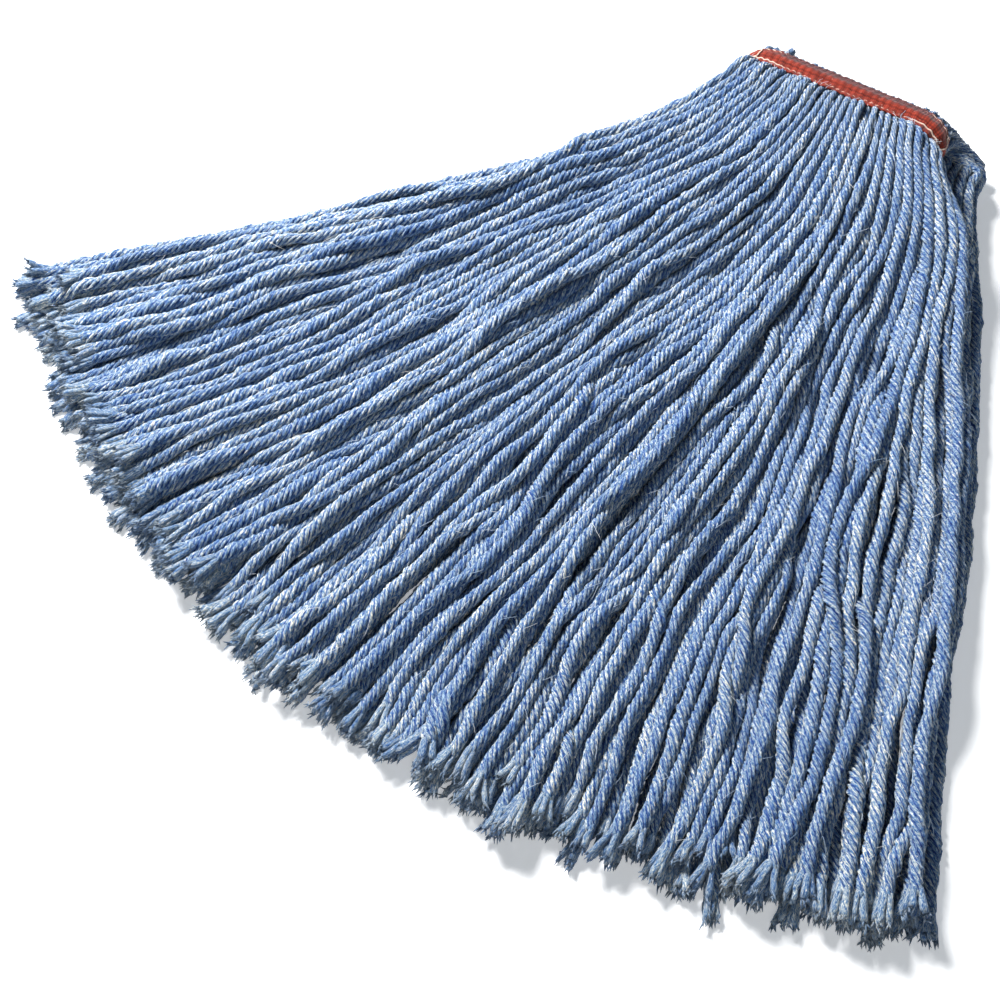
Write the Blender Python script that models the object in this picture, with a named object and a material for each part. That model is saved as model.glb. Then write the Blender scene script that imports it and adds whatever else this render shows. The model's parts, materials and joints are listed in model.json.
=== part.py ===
"""Cut-end string mop head, folded over its headband and lying on a flat surface.

Two fabric tapes are sewn across the middle of a pile of twisted mop strands. The band they make lies tilted on the
crest of the fold. From its upper edge one half of the strands bulges up and fans out over the other half, which comes
round the back of the fold and lies on the surface. The upper half is in three sections that lift on one hinge line
along the band's upper edge. Metres, +Z up, -Y the way the strands point, X along the headband. The origin is under
the middle of the whole object's box, at its foot.
"""

import math

import bmesh
import bpy
from mathutils import Vector

# Headband
BAND_LENGTH = 0.127
BAND_WIDTH = 0.0254
BAND_TILT = math.radians(20)
BAND_MIDDLE_Z = 0.040
BAND_FLAT_LENGTH = 0.090       # the tapes are flat over this length and curl together at both ends
TAPE_THICKNESS = 0.0010
PRESSED_PILE = 0.0120          # thickness of the strands where the tapes press them flat
SEAM_INSET = 0.0032            # from a tape's long edge to its row of stitches
CROWN_HEIGHT = 0.0016          # the strands swell this far between the two rows of stitches
CROWN_FOOT = 0.0078            # from the band's middle to where the swelling starts
CROWN_TOP = 0.0060             # from the band's middle to the edge of the swelling's flat top
TACK_INSET = 0.0065            # from a tape's end to its cross stitch
THREAD_RADIUS = 0.0004

# Strands
STRAND_DIAMETER = 0.0062
STRANDS_PER_SIDE = 120
PACKING = 0.85                 # share of the pile's cross-section that is yarn
REACH = 0.458                  # from the band's middle to the cut ends, at the middle of the fan
LEFT_REACH_SHARE = 0.968       # the outermost strands are more curved, so they reach less far
RIGHT_REACH_SHARE = 0.914
FAN_LEFT = math.radians(-43)
FAN_RIGHT = math.radians(20)
SWING_SHARE = 0.9              # the strands' mean direction, as a share of their direction at the cut ends
LEFT_SWELL = 0.014             # how far the outermost strands swell past the band's ends
RIGHT_SWELL = 0.030
SWELL_LENGTH = 0.040           # distance in which the pile swells to its free thickness
FAN_DELAY = 0.080              # the strands at the fan's left edge run straight for about this far before they turn
BACK_SWELL = 1.6               # how fast the lower half swells sideways as it drops behind the band
THINNEST_PILE = 0.0080
ROOT_WIDTH = BAND_LENGTH - 0.005
BACK_BEND_RADIUS = 0.0125      # of the lower half's middle line, round the back of the fold
LANDING = 0.085                # where the upper half has come down on to the lower half
LIFT_HANDLE = 0.020            # pull of the upper half's curve out of the band
LANDING_HANDLE = 0.030         # pull of the same curve where it lands

# Make-up of the model
LOCKS_PER_SECTION = 4
SECTIONS = ("left", "middle", "right")
LOCKS_PER_SIDE = LOCKS_PER_SECTION * len(SECTIONS)
GAP = 0.0003                   # clearance between pieces that touch
LOCK_GAP = 0.0014              # clearance between neighbouring locks of strands
HALF_GAP = 0.0008              # clearance between the upper half and the lower half
BEND_STEPS = 12
TAPE_END_STEPS = 6
RUN_DISTANCES = (0.110, 0.145, 0.190, 0.245, 0.310, 0.380, REACH)

BLUE = (0.16, 0.30, 0.52)
ORANGE_RED = (0.52, 0.06, 0.03)
CREAM = (0.75, 0.62, 0.50)

# The band's own directions: "along" climbs to its upper edge, "out" leaves its outer face.
ALONG = Vector((0, -math.cos(BAND_TILT), math.sin(BAND_TILT)))
OUT = Vector((0, math.sin(BAND_TILT), math.cos(BAND_TILT)))
BAND_MIDDLE = Vector((0, 0, BAND_MIDDLE_Z))
UPPER_EDGE = BAND_MIDDLE + ALONG * (BAND_WIDTH / 2 + GAP)
LOWER_EDGE = BAND_MIDDLE - ALONG * (BAND_WIDTH / 2 + GAP)
TAPE_OUTSIDE = PRESSED_PILE / 2 + GAP + TAPE_THICKNESS
HINGE = UPPER_EDGE + OUT * TAPE_OUTSIDE
BEND_CENTRE = LOWER_EDGE - OUT * BACK_BEND_RADIUS
FAN_START = TAPE_OUTSIDE + PRESSED_PILE / 2 + GAP    # the fan opens beyond this distance from the hinge line


def ease(t):
    """Rise smoothly from 0 at t = 0 to 1 at t = 1."""
    t = min(max(t, 0.0), 1.0)
    return t * t * (3 - 2 * t)


# ---- The fan: u runs from 0 at its left edge to 1 at its right edge ----

def fan_angle(u):
    """Direction of the strands at u in plan, from -Y towards +X."""
    return FAN_LEFT + (FAN_RIGHT - FAN_LEFT) * u


def fan_x(u, distance, swelled=0.0):
    """X of the strands at u, at a distance from the line that they fan out from. swelled is how much of the distance
    in which they swell they have left behind them before that line."""
    free = max(distance, 0.0)
    swell = (u * RIGHT_SWELL - (1 - u) * LEFT_SWELL) * ease(max(free, swelled) / SWELL_LENGTH)
    turned = free**2 / (free + FAN_DELAY * (1 - u) + GAP)
    return (u - 0.5) * ROOT_WIDTH + swell + turned * math.tan(fan_angle(u))


def fan_width(distance):
    """Width of the whole fan at a distance from the band."""
    return fan_x(1, distance) - fan_x(0, distance)


def fan_y(u, forward):
    """Y of the strands at u, which swing back and reach less far towards the fan's edges."""
    edge_share = LEFT_REACH_SHARE + (RIGHT_REACH_SHARE - LEFT_REACH_SHARE) * u
    reach_share = edge_share + (1 - edge_share) * math.sin(math.pi * u)
    pull_back = 1 - math.cos(fan_angle(u) * SWING_SHARE) * reach_share
    return -forward * (1 - pull_back * ease((forward - FAN_START) / LANDING))


def upper_place(u, forward, height, swelled):
    """Corner of an upper lock. Its X depends only on its distance from the hinge, so lifting never meets a neighbour."""
    y = fan_y(u, forward)
    distance = math.hypot(y - HINGE.y, height - HINGE.z) - FAN_START
    return Vector((fan_x(u, distance, swelled), y, height))


def lower_place(u, forward, height, swelled):
    """Corner of a lower lock, which swells behind the band and fans out once it has come forward under it."""
    y = fan_y(u, forward)
    return Vector((fan_x(u, -y, swelled), y, height))


# ---- Middle lines of both halves: stations of (forward, height, direction, thickness, distance swelled) ----

def pile_thickness(distance):
    """Thickness of one half's pile of strands at a distance from the band."""
    yarn = STRANDS_PER_SIDE * math.pi * STRAND_DIAMETER**2 / 4
    free = max(yarn / PACKING / fan_width(max(distance, SWELL_LENGTH)), THINNEST_PILE)
    under_band = 2 * (BEND_CENTRE.z - BACK_BEND_RADIUS)
    return under_band + (free - under_band) * ease(distance / SWELL_LENGTH)


def back_swell(height):
    """Distance swelled of the lower half, which swells sideways as it drops behind the band."""
    return (LOWER_EDGE.z - height) * BACK_SWELL


def lying_station(distance, layer):
    """Station of a half that lies flat: layer 0 on the surface, layer 1 on the other half."""
    def height(d):
        return pile_thickness(d) * (layer + 0.5) + HALF_GAP * layer
    rise = (height(distance + GAP) - height(distance)) / GAP
    swelled = back_swell(height(distance)) * (1 - layer)
    return distance, height(distance), Vector((1, rise)).normalized(), pile_thickness(distance), swelled


def upper_stations():
    """Up out of the band, over in a bulge, and down on to the lower half."""
    landing, land_height, land_direction, land_thickness, _ = lying_station(LANDING, 1)
    start = Vector((-UPPER_EDGE.y, UPPER_EDGE.z))
    end = Vector((landing, land_height))
    leave = start + Vector((math.cos(BAND_TILT), math.sin(BAND_TILT))) * LIFT_HANDLE
    arrive = end - land_direction * LANDING_HANDLE
    stations = []
    for i in range(BEND_STEPS + 1):
        t = i / BEND_STEPS
        s = 1 - t
        point = start * s**3 + leave * 3 * t * s * s + arrive * 3 * t * t * s + end * t**3
        direction = (leave - start) * s * s + (arrive - leave) * 2 * t * s + (end - arrive) * t * t
        thickness = PRESSED_PILE + (land_thickness - PRESSED_PILE) * ease(1.5 * t)
        stations.append((point.x, point.y, direction.normalized(), thickness, 0.0))
    return stations + [lying_station(d, 1) for d in RUN_DISTANCES]


def lower_stations():
    """Back out of the band, round the back of the fold, and forward along the surface."""
    turn = math.pi - BAND_TILT
    stations = []
    for i in range(BEND_STEPS + 1):
        t = i / BEND_STEPS
        spoke = OUT * math.cos(turn * t) - ALONG * math.sin(turn * t)
        point = BEND_CENTRE + spoke * BACK_BEND_RADIUS
        thickness = PRESSED_PILE + (pile_thickness(0) - PRESSED_PILE) * t
        stations.append((-point.y, point.z, Vector((-spoke.z, -spoke.y)), thickness, back_swell(point.z)))
    approach = (0.012, 0.026, 0.040, 0.060, LANDING)
    return stations + [lying_station(d, 0) for d in approach + RUN_DISTANCES]


# ---- Building ----

def make_material(name, colour, roughness):
    material = bpy.data.materials.new(name)
    material.use_nodes = True
    shader = material.node_tree.nodes["Principled BSDF"]
    shader.inputs["Base Color"].default_value = (*colour, 1)
    shader.inputs["Roughness"].default_value = roughness
    shader.inputs["Metallic"].default_value = 0.0
    return material


def add_object(name, data, colour, roughness, parent, smooth):
    """Put an object in the mop's collection with its own material, under a parent that is already in place."""
    obj = bpy.data.objects.new(name, data)
    data.materials.append(make_material(name, colour, roughness))
    bpy.data.collections["string_mop"].objects.link(obj)
    obj.parent = parent
    if smooth:
        data.shade_smooth()
        data.set_sharp_from_angle(angle=math.radians(50))
    return obj


def add_empty(name, place, parent):
    empty = bpy.data.objects.new(name, None)
    empty.empty_display_size = 0.02
    empty.location = place
    empty.parent = parent
    bpy.data.collections["string_mop"].objects.link(empty)
    return empty


def loft(name, rings):
    """Closed mesh through rings that all have the same number of corners, capped at both ends."""
    mesh = bmesh.new()
    rows = [[mesh.verts.new(corner) for corner in ring] for ring in rings]
    count = len(rings[0])
    for row, following in zip(rows, rows[1:]):
        for i in range(count):
            j = (i + 1) % count
            mesh.faces.new((row[i], row[j], following[j], following[i]))
    mesh.faces.new(reversed(rows[0]))
    mesh.faces.new(rows[-1])
    bmesh.ops.recalc_face_normals(mesh, faces=mesh.faces)
    data = bpy.data.meshes.new(name)
    mesh.to_mesh(data)
    mesh.free()
    return data


def thread_curve(name, points):
    curve = bpy.data.curves.new(name, "CURVE")
    curve.dimensions = "3D"
    curve.bevel_depth = THREAD_RADIUS
    curve.bevel_resolution = 1
    curve.resolution_u = 1
    curve.use_fill_caps = True
    spline = curve.splines.new("POLY")
    spline.points.add(len(points) - 1)
    for spline_point, place in zip(spline.points, points):
        spline_point.co = (*place, 1)
    return curve


def half_pile(x):
    """Half the thickness of the pressed strands at x: even in the middle, rounded off at the band's ends."""
    into_end = max(abs(x) - BAND_FLAT_LENGTH / 2, 0) / ((BAND_LENGTH - BAND_FLAT_LENGTH) / 2)
    return PRESSED_PILE / 2 * math.sqrt(max(1 - into_end**2, 0))


def band_xs(last):
    """Places along the band from -last to last, close together at its rounded ends and with one long flat between."""
    flat = BAND_FLAT_LENGTH / 2
    ends = [flat + (last - flat) * math.sin(math.pi / 2 * i / TAPE_END_STEPS) for i in range(TAPE_END_STEPS + 1)]
    return [-x for x in reversed(ends)] + ends


def band_point(x, along, out):
    return BAND_MIDDLE + ALONG * along + OUT * out + Vector((x, 0, 0))


def face_line(x, side, offset):
    """Points across one face of the pressed strands at x, offset from it: low under the seams, crowned between."""
    half = half_pile(x)
    crown = CROWN_HEIGHT * half / (PRESSED_PILE / 2)
    edge = BAND_WIDTH / 2
    profile = ((-edge, 0), (-CROWN_FOOT, 0), (-CROWN_TOP, crown), (CROWN_TOP, crown), (CROWN_FOOT, 0), (edge, 0))
    return [band_point(x, along, side * (half + rise + offset)) for along, rise in profile]


def add_tape(name, side, frame):
    """Tape on the outer face (side 1) or the inner face (side -1) of the pressed strands."""
    rings = []
    for x in band_xs(BAND_LENGTH / 2):
        near = face_line(x, side, GAP)
        far = face_line(x, side, GAP + TAPE_THICKNESS)
        rings.append(near + far[::-1])
    add_object(name, loft(name, rings), ORANGE_RED, 0.85, frame, False)


def add_pressed_strands(frame):
    """The strands between the tapes, as one block with rounded ends."""
    rings = [face_line(x, -1, 0) + face_line(x, 1, 0)[::-1] for x in band_xs(ROOT_WIDTH / 2)]
    add_object("pressed_strands", loft("pressed_strands", rings), BLUE, 0.9, frame, False)


def add_seam(name, side, row, frame):
    """Row of stitches along one long edge (row 1 upper, -1 lower) of the tape on one face."""
    along = row * (BAND_WIDTH / 2 - SEAM_INSET)
    lift = 2 * GAP + TAPE_THICKNESS + THREAD_RADIUS
    points = [band_point(x, along, side * (half_pile(x) + lift)) for x in band_xs(ROOT_WIDTH / 2)]
    add_object(name, thread_curve(name, points), CREAM, 0.7, frame, False)


def add_tack(name, end, frame):
    """Cross stitch over the crown between the two rows near one end (-1 left, 1 right) of the outer tape."""
    x = end * (BAND_LENGTH / 2 - TACK_INSET)
    points = face_line(x, 1, 2 * GAP + TAPE_THICKNESS + 1.5 * THREAD_RADIUS)[1:-1]
    add_object(name, thread_curve(name, points), CREAM, 0.7, frame, False)


def add_lock(name, index, stations, place, parent, origin):
    """One lock of strands: a flattened tube between two lines of the fan."""
    middle = (index + 0.5) / LOCKS_PER_SIDE
    corners = ((1, -0.5), (1, 0.5), (0.6, 1), (-0.6, 1), (-1, 0.5), (-1, -0.5), (-0.6, -1), (0.6, -1))
    rings = []
    for forward, height, direction, thickness, swelled in stations:
        half_u = 0.5 / LOCKS_PER_SIDE - LOCK_GAP / 2 / fan_width(forward)
        up = Vector((-direction.y, direction.x)) * thickness / 2
        rings.append([
            place(middle + half_u * across, forward + up.x * share, height + up.y * share, swelled) - origin
            for across, share in corners
        ])
    add_object(name, loft(name, rings), BLUE, 0.9, parent, True)


def stand_on_origin(frame):
    """Move the whole mop so that the middle of its box is over the origin and its foot is at Z = 0."""
    bpy.context.view_layer.update()
    meshes = [o for o in bpy.data.collections["string_mop"].objects if o.type == "MESH"]
    corners = [o.matrix_world @ v.co for o in meshes for v in o.data.vertices]
    low = [min(c[axis] for c in corners) for axis in range(3)]
    high = [max(c[axis] for c in corners) for axis in range(3)]
    frame.location = (-(low[0] + high[0]) / 2, -(low[1] + high[1]) / 2, -low[2])


def main():
    for obj in list(bpy.data.objects):
        bpy.data.objects.remove(obj)
    collection = bpy.data.collections.new("string_mop")
    bpy.context.scene.collection.children.link(collection)
    frame = add_empty("mop_frame", (0, 0, 0), None)

    add_pressed_strands(frame)
    for face, side in (("outer", 1), ("inner", -1)):
        add_tape(f"headband_{face}_tape", side, frame)
        add_seam(f"{face}_seam_upper", side, 1, frame)
        add_seam(f"{face}_seam_lower", side, -1, frame)
    add_tack("end_tack_left", -1, frame)
    add_tack("end_tack_right", 1, frame)

    stations = lower_stations()
    for index in range(LOCKS_PER_SIDE):
        add_lock(f"lower_strands_{index + 1:02d}", index, stations, lower_place, frame, Vector())

    stations = upper_stations()
    for section, section_name in enumerate(SECTIONS):
        hinge = add_empty(f"hinge_{section_name}", HINGE, frame)
        for index in range(section * LOCKS_PER_SECTION, (section + 1) * LOCKS_PER_SECTION):
            add_lock(f"upper_strands_{index + 1:02d}", index, stations, upper_place, hinge, HINGE)

    stand_on_origin(frame)


main()
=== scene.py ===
"""Looks of a folded cut-end string mop head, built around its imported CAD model.

Every strand of yarn is laid out one by one: its cross-section is packed against its neighbours from the
headband out to the cut ends, and a twisted yarn is swept along the path that results. Metres, +Z up.
"""
import json
import math

import bpy
import numpy as np
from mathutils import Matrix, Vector


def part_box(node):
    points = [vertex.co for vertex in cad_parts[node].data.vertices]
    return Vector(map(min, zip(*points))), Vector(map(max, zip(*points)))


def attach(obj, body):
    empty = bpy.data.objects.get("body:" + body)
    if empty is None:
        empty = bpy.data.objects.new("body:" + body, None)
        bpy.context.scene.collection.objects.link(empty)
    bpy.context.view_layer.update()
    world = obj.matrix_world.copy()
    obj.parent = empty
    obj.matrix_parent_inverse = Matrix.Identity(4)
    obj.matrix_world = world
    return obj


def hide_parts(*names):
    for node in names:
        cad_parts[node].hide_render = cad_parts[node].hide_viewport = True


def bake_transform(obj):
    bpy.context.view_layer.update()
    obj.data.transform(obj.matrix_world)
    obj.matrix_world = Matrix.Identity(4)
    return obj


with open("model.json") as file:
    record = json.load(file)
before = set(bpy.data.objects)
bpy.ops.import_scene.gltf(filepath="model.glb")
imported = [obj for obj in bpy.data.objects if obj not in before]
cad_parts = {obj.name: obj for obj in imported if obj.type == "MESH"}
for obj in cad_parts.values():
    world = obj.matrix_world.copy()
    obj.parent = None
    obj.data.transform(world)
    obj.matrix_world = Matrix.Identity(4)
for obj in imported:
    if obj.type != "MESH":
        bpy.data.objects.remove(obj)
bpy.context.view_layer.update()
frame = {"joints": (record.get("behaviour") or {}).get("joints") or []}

RANDOM = np.random.default_rng(24)

# ---- Sizes that the CAD model is built on ----
BAND_LENGTH = 0.127
BAND_WIDTH = 0.0254
BAND_TILT = math.radians(20)
BAND_FLAT_LENGTH = 0.090
TAPE_THICKNESS = 0.0010
PRESSED_PILE = 0.0120
SEAM_INSET = 0.0032
CROWN_HEIGHT = 0.0016
CROWN_FOOT = 0.0078
CROWN_TOP = 0.0060
TACK_INSET = 0.0065
THREAD_RADIUS = 0.0004
STRAND_DIAMETER = 0.0062
STRANDS_PER_SIDE = 120
PACKING = 0.85
REACH = 0.458
LEFT_REACH_SHARE = 0.968
RIGHT_REACH_SHARE = 0.914
FAN_LEFT = math.radians(-43)
FAN_RIGHT = math.radians(20)
SWING_SHARE = 0.9
LEFT_SWELL = 0.014
RIGHT_SWELL = 0.030
SWELL_LENGTH = 0.040
FAN_DELAY = 0.080
BACK_SWELL = 1.6
THINNEST_PILE = 0.0080
ROOT_WIDTH = BAND_LENGTH - 0.005
BACK_BEND_RADIUS = 0.0125
LANDING = 0.085
LIFT_HANDLE = 0.020
LANDING_HANDLE = 0.030
SECTIONS = ("left", "middle", "right")
LOCKS_PER_SECTION = 4
GAP = 0.0003
HALF_GAP = 0.0008

# ---- Sizes of the yarn and its lie ----
PINCH = 0.62                   # a strand's thickness where the stitching presses it, as a share of its own
SPREAD_LENGTH = 0.070          # past the stitching, in which a strand swells to its own thickness
GRIP_LENGTH = 0.026            # past the stitching, in which the strands keep the order of their rows
OPENING_LENGTH = 0.085         # past the stitching, in which the upper half swells sideways
BEHIND_SHARE = 0.78            # of the lower half's swelling sideways that it does behind the band
STATION_STEP = 0.004           # between the cross-sections at which the pile is packed
RELAX_ROUNDS = 26
BAND_ROWS = 4                  # rows of strands between the tapes
ROW_STEP = 0.467               # between those rows, as a share of half the pile
HIDDEN_START = 0.003           # how far past the band's middle line each half's strands start
BUMP_HEIGHT = 0.0038           # some strands rise this far beside the tapes, where they leave the stitching
BUMP_PLACE = 0.007
RIGHT_PLAY = 0.002             # how far the outermost strands may stray past the fan's right edge
RIGHT_BULGE = (0.012, 0.21, 0.09)    # how much further they may stray midway, at which run, over what length
MEANDER = ((0.26, 0.11, 0.050), (0.0020, 0.0010, 0.0005))    # lengths and sizes of each strand's own waves
LEFT_SHORTER = 0.010           # by how much the strands at the fan's left edge end sooner
SIDE_HOLD = 0.08               # share of the way back to its own place that a strand moves sideways each round
HEIGHT_HOLD = 0.3              # the same for its height in the pile, where the pile hangs free
GRIP_HOLD = 0.9                # what the stitching's grip adds to both
SINKING = 0.0002               # how far a lying strand sinks in each round
LYING_START = 0.040            # forward of the band, where the pile starts to rest on what is under it
LYING_LENGTH = 0.045           # in which it comes to rest
BACK_RUN = 0.045               # strands don't count as lying this close to the band's edge, along their length
# Waves that neighbouring strands share: how many across the fan, their length along it, and their size
SWAY = ((1.3, 0.42, 0.0038), (2.9, 0.30, 0.0028), (6.1, 0.24, 0.0021), (12.7, 0.18, 0.0016))
# Waves of the partings between sections: size, length along the strands of one radian, shift between partings
PARTING_WAVES = ((0.009, 0.052, 2.8), (0.005, 0.023, 5.0))
PLIES = 6
LAY_LENGTH = 0.024             # of one whole turn of the plies
PLY_SHAPE = (1.0, 1.0, 0.78)   # distances from the yarn's middle across one ply, as shares of its radius
PATTERN_UNIT = 0.00345         # length along a strand that counts as 1 in its surface pattern
TUFTS = 7                      # bunches of fibres at a cut end
TUFT_LENGTHS = (0.005, 0.011)
FIBRES_PER_TUFT = 4
FLOOR_CLEAR = 0.0003
DECLARED_PER_SECTION = 13      # strands that lie on top, each a piece of its own
LINT_PER_SECTION = 900
LOWER_PARTS = 4                # pieces that the lower half's yarn is made in
UPPER_PARTS = 2                # pieces for the strands of one section that don't show

# ---- Sizes of the headband ----
DROOP_START = 0.041            # past here the band's right end bends down with the pile
DROOP_RADIUS = 0.0190
UPPER_DROOP_LENGTH = 0.100     # of strand past the band in which that bend dies away
LOWER_DROOP_LENGTH = 0.034
RIDGE_HEIGHT = 0.0016          # of the fold that runs along the outer tape
RIDGE_PLACE = 0.0035           # of that fold, from the tape's middle towards its upper edge
RIDGE_SPREAD = 0.0045
WEAVE_PITCH = 0.00115
WEAVE_HEIGHT = 0.00032
STITCH_LENGTH = 0.0034
LOOP_INSET = 0.014             # of the stray loop, from the band's left end
LOOP_SIZE = 0.0050

# ---- Places, worked out from the CAD model ----
band_low, band_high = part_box("pressed_strands")
BAND_MIDDLE = (band_low + band_high) / 2
ALONG = Vector((0, -math.cos(BAND_TILT), math.sin(BAND_TILT)))
OUT = Vector((0, math.sin(BAND_TILT), math.cos(BAND_TILT)))
UPPER_EDGE = BAND_MIDDLE + ALONG * (BAND_WIDTH / 2 + GAP)
LOWER_EDGE = BAND_MIDDLE - ALONG * (BAND_WIDTH / 2 + GAP)
HINGE = Vector(frame["joints"][0]["pos_m"])
BEND_CENTRE = LOWER_EDGE - OUT * BACK_BEND_RADIUS
FAN_START = 2 * (PRESSED_PILE / 2 + GAP) + TAPE_THICKNESS
ACROSS = np.linspace(-0.06, 1.06, 57)    # shares of the fan at which its arcs are measured


def ease(t):
    """Rise smoothly from 0 at t = 0 to 1 at t = 1."""
    t = np.clip(t, 0.0, 1.0)
    return t * t * (3 - 2 * t)


# ---- The fan: u runs from 0 at its left edge to 1 at its right edge ----

def fan_x(u, distance, swell_share):
    """X at u, from the band's middle, at a distance from the line that the strands fan out from.
    swell_share is how much of their swelling sideways they have behind them."""
    free = np.maximum(distance, 0.0)
    swell = (u * RIGHT_SWELL - (1 - u) * LEFT_SWELL) * swell_share
    turned = free**2 / (free + FAN_DELAY * np.maximum(1 - u, 0) + GAP)
    return (u - 0.5) * ROOT_WIDTH + swell + turned * np.tan(FAN_LEFT + (FAN_RIGHT - FAN_LEFT) * u)


def fan_width(distance):
    swell_share = ease(distance / SWELL_LENGTH)
    return fan_x(1.0, distance, swell_share) - fan_x(0.0, distance, swell_share)


def fan_y(u, forward):
    """Y at u, from the band's middle: strands swing back and reach less far towards the fan's edges."""
    edge_share = LEFT_REACH_SHARE + (RIGHT_REACH_SHARE - LEFT_REACH_SHARE) * u
    reach_share = edge_share + (1 - edge_share) * np.sin(np.pi * np.clip(u, 0, 1))
    pull_back = 1 - np.cos((FAN_LEFT + (FAN_RIGHT - FAN_LEFT) * u) * SWING_SHARE) * reach_share
    return -forward * (1 - pull_back * ease((forward - FAN_START) / LANDING))


def pile_thickness(distance):
    yarn = STRANDS_PER_SIDE * math.pi * STRAND_DIAMETER**2 / 4
    free = np.maximum(yarn / PACKING / fan_width(np.maximum(distance, SWELL_LENGTH)), THINNEST_PILE)
    under_band = 2 * (BEND_CENTRE.z - BACK_BEND_RADIUS)
    return under_band + (free - under_band) * ease(distance / SWELL_LENGTH)


# ---- Middle lines of both halves ----
# Each row holds forward, height, the normal's forward and height, the pile's thickness, and the length run.

def with_run(rows):
    rows = np.array(rows)
    steps = np.hypot(np.diff(rows[:, 0]), np.diff(rows[:, 1]))
    return np.column_stack([rows, np.concatenate([[0], np.cumsum(steps)])])


def evenly(rows, step):
    """The same line with its rows a step apart."""
    run = rows[:, -1]
    places = np.arange(0, run[-1], step)
    return np.column_stack([np.interp(places, run, column) for column in rows.T])


def lying_rows(layer, first):
    distances = np.arange(first, REACH + 0.030, STATION_STEP)
    thickness = pile_thickness(distances)
    heights = thickness * (layer + 0.5) + HALF_GAP * layer
    return [(d, h, 0.0, 1.0, t) for d, h, t in zip(distances, heights, thickness)]


def upper_line():
    """Out of the band's upper edge, over in a bulge, and down on to the lower half."""
    landed = lying_rows(1, LANDING)
    (x0, y0), (x1, y1) = landed[0][:2], landed[1][:2]
    down = Vector((x1 - x0, y1 - y0)).normalized()
    start = Vector((BAND_MIDDLE.y - UPPER_EDGE.y, UPPER_EDGE.z))
    end = Vector((x0, y0))
    leave = start + Vector((math.cos(BAND_TILT), math.sin(BAND_TILT))) * LIFT_HANDLE
    arrive = end - down * LANDING_HANDLE
    rows = []
    for along in np.linspace(-BAND_WIDTH / 2 - HIDDEN_START, -0.0005, 6):
        inside = start + Vector((math.cos(BAND_TILT), math.sin(BAND_TILT))) * float(along)
        rows.append((inside.x, inside.y, -math.sin(BAND_TILT), math.cos(BAND_TILT), PRESSED_PILE))
    for t in np.linspace(0, 1, 30)[:-1]:
        s = 1 - t
        point = start * s**3 + leave * 3 * t * s * s + arrive * 3 * t * t * s + end * t**3
        way = ((leave - start) * s * s + (arrive - leave) * 2 * t * s + (end - arrive) * t * t).normalized()
        thickness = PRESSED_PILE + (landed[0][4] - PRESSED_PILE) * float(ease(1.5 * t))
        rows.append((point.x, point.y, -way.y, way.x, thickness))
    return evenly(with_run(rows + landed), STATION_STEP)


def lower_line():
    """Out of the band's lower edge, round the back of the fold, and forward along the surface."""
    turn = math.pi - BAND_TILT
    rows = []
    for along in np.linspace(-BAND_WIDTH / 2 - HIDDEN_START, -0.0005, 6):
        inside = LOWER_EDGE - ALONG * float(along)
        rows.append((BAND_MIDDLE.y - inside.y, inside.z, OUT.y, -OUT.z, PRESSED_PILE))
    for t in np.linspace(0, 1, 24)[:-1]:
        spoke = OUT * math.cos(turn * t) - ALONG * math.sin(turn * t)
        point = BEND_CENTRE + spoke * BACK_BEND_RADIUS
        thickness = PRESSED_PILE + (pile_thickness(0) - PRESSED_PILE) * float(t)
        rows.append((BAND_MIDDLE.y - point.y, point.z, spoke.y, -spoke.z, thickness))
    return evenly(with_run(rows + lying_rows(0, BAND_MIDDLE.y - BEND_CENTRE.y)), STATION_STEP)


def droop(x, out):
    """How far a place on the band, out from its middle plane, moves along X and outwards.
    Only the band's right end moves: it bends down round the pile."""
    past = np.maximum(x - DROOP_START, 0)
    reach = DROOP_RADIUS + out
    return reach * np.sin(past / DROOP_RADIUS) - past, reach * np.cos(past / DROOP_RADIUS) - reach


def moved(points, shift):
    """Points moved along X and outwards from the band."""
    along_x, outwards = shift
    return points + along_x[..., None] * np.array((1.0, 0, 0)) + outwards[..., None] * np.array(OUT)


# ---- Laying out the strands: packing their round cross-sections, station by station ----

def wander(count, runs, lengths, sizes):
    """Smooth random offsets, one column for each strand, from a few waves of different lengths."""
    total = np.zeros((len(runs), count))
    for length, size in zip(lengths, sizes):
        phase = RANDOM.uniform(0, 2 * np.pi, count)
        stretch = RANDOM.uniform(0.8, 1.25, count)
        total += size * np.sin(2 * np.pi * runs[:, None] / (length * stretch) + phase)
    return total


def drift(u, runs):
    """Sideways sway that neighbouring strands share, so that they gather into locks and bend gently."""
    total = np.zeros((len(runs), len(u)))
    for across, length, size in SWAY:
        phase_u, phase_run = RANDOM.uniform(0, 2 * np.pi, 2)
        swing = phase_u + 1.4 * np.sin(2 * np.pi * runs[:, None] / length + phase_run)
        total += size * np.sin(2 * np.pi * across * u[None, :] + swing)
    return total * ease(runs / 0.16)[:, None]


def smooth(rows, spread):
    """Gaussian smoothing along the first axis, with its ends kept."""
    reach = int(3 * spread) + 1
    kernel = np.exp(-0.5 * (np.arange(-reach, reach + 1) / spread)**2)
    kernel /= kernel.sum()
    padded = np.concatenate([np.repeat(rows[:1], reach, 0), rows, np.repeat(rows[-1:], reach, 0)])
    return np.stack([np.convolve(padded[:, i], kernel, "valid") for i in range(rows.shape[1])], 1)


def start_grid():
    """Where the strands lie side by side between the tapes, in staggered rows: shares across and up."""
    column, row = np.divmod(np.arange(STRANDS_PER_SIDE), BAND_ROWS)
    u = (column + 0.25 + 0.5 * (row % 2)) / (STRANDS_PER_SIDE // BAND_ROWS)
    return u, (row - (BAND_ROWS - 1) / 2) * ROW_STEP


def section_numbers(u, sections):
    """The section that each strand belongs to, from its share of the fan at the band."""
    return np.minimum((u * sections).astype(int), sections - 1)


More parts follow.
